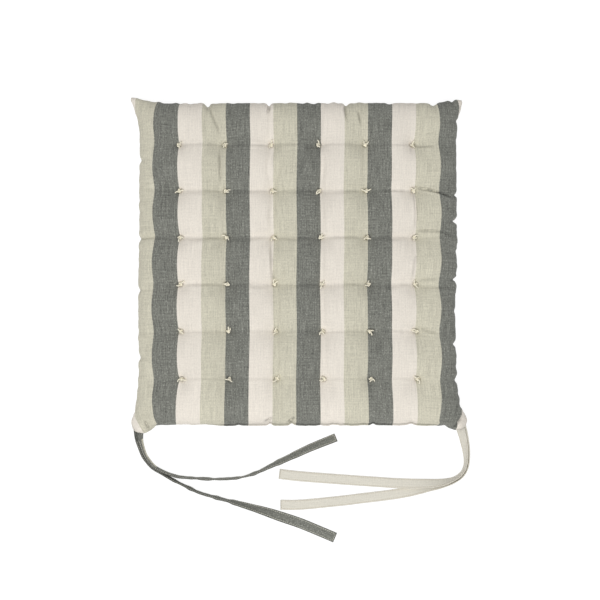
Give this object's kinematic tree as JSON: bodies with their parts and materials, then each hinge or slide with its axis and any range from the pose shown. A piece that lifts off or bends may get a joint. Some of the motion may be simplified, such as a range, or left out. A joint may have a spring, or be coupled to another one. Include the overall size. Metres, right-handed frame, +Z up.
{
  "type": "chair seat pad",
  "caption": "Square knife-edge seat pad in striped cotton over wadding, tufted through with knotted strings, with cloth ties at its two rear corners.",
  "frame": {"origin": "middle of the underside that the pad rests on", "axes": "+Z up, +Y to the front of the seat, +X to the sitter's right; the ties leave the two rear corners"},
  "size_m": [0.4121, 0.5415, 0.04],
  "materials": {
    "striped_cotton": "plain-weave slub cotton, matt, in sage, charcoal and cream stripes",
    "wadding_fibre": "soft polyester fibre",
    "ecru_string": "twisted cotton string, matt",
    "sewing_thread": "spun sewing thread",
    "charcoal_cotton": "plain-weave cotton tape, topstitched, matt",
    "cream_cotton": "plain-weave cotton tape, topstitched, matt"
  },
  "bodies": {
    "root": {"top_cover": "striped_cotton", "bottom_cover": "striped_cotton", "wadding": "wadding_fibre", "edge_seam_thread": "sewing_thread", "closing_seam_thread": "sewing_thread", "left_tie_upper": "charcoal_cotton", "left_tie_lower": "charcoal_cotton", "right_tie_upper": "cream_cotton", "right_tie_lower": "cream_cotton", "tuft_row1_col1": "ecru_string", "tuft_row1_col2": "ecru_string", "tuft_row1_col3": "ecru_string", "tuft_row1_col4": "ecru_string", "tuft_row1_col5": "ecru_string", "tuft_row1_col6": "ecru_string", "tuft_row2_col1": "ecru_string", "tuft_row2_col2": "ecru_string", "tuft_row2_col3": "ecru_string", "tuft_row2_col4": "ecru_string", "tuft_row2_col5": "ecru_string", "tuft_row2_col6": "ecru_string", "tuft_row3_col1": "ecru_string", "tuft_row3_col2": "ecru_string", "tuft_row3_col3": "ecru_string", "tuft_row3_col4": "ecru_string", "tuft_row3_col5": "ecru_string", "tuft_row3_col6": "ecru_string", "tuft_row4_col1": "ecru_string", "tuft_row4_col2": "ecru_string", "tuft_row4_col3": "ecru_string", "tuft_row4_col4": "ecru_string", "tuft_row4_col5": "ecru_string", "tuft_row4_col6": "ecru_string", "tuft_row5_col1": "ecru_string", "tuft_row5_col2": "ecru_string", "tuft_row5_col3": "ecru_string", "tuft_row5_col4": "ecru_string", "tuft_row5_col5": "ecru_string", "tuft_row5_col6": "ecru_string", "tuft_row6_col1": "ecru_string", "tuft_row6_col2": "ecru_string", "tuft_row6_col3": "ecru_string", "tuft_row6_col4": "ecru_string", "tuft_row6_col5": "ecru_string", "tuft_row6_col6": "ecru_string"}
  },
  "joints": []
}
